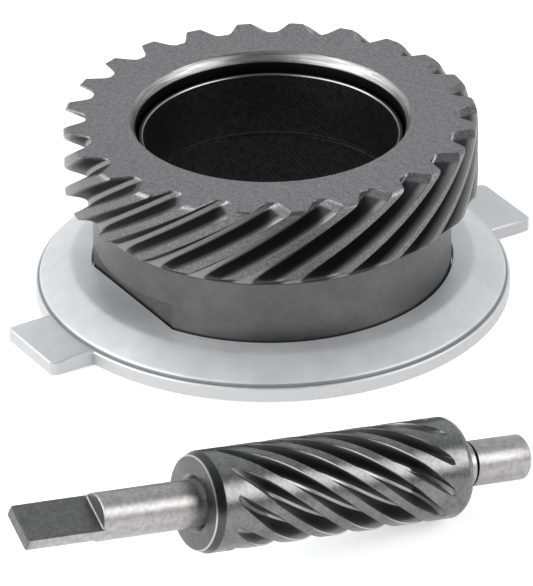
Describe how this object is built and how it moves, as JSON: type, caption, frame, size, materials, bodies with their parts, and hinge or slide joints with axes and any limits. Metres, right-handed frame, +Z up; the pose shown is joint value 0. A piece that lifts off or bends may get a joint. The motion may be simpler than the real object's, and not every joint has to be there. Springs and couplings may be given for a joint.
{
  "type": "worm gear set",
  "caption": "Crossed-helical worm drive: helical ring gear on a dished two-eared drive plate, with its tanged worm shaft laid in front.",
  "frame": {"origin": "on the floor, under the middle of the whole set's box", "axes": "+Z up along the ring gear's axis; +Y from the worm, which lies in front, towards the gear; +X to the right"},
  "size_m": [0.059, 0.1034, 0.0214],
  "materials": {
    "gear_steel": "satin dark phosphated steel",
    "bush_steel": "near-black machined bore",
    "zinc_plate": "bright zinc-plated pressing",
    "worm_steel": "satin dark hardened steel",
    "pin_steel": "ground steel"
  },
  "bodies": {
    "bush": {"bore_bush": "bush_steel"},
    "gear": {"ring_gear": "gear_steel"},
    "plate": {"drive_plate": "zinc_plate"},
    "worm": {"worm_sleeve": "worm_steel", "worm_pin": "pin_steel"}
  },
  "joints": [
    {"name": "gear_spin", "type": "hinge", "parent": "bush", "child": "gear", "pos_m": [0, 0.02504, 0], "axis": [0, 0, 1], "continuous": true},
    {"name": "plate_float", "type": "slide", "parent": "gear", "child": "plate", "axis": [0, 0, 1], "range_m": [0, 0.0025]},
    {"name": "worm_spin", "type": "hinge", "parent": "bush", "child": "worm", "pos_m": [0.01835, -0.02496, 0.0053], "axis": [0.8671, 0.4747, -0.1513], "continuous": true}
  ],
  "couplings": [
    {"joint": "worm_spin", "follows": "gear_spin", "ratio": -2.4}
  ]
}
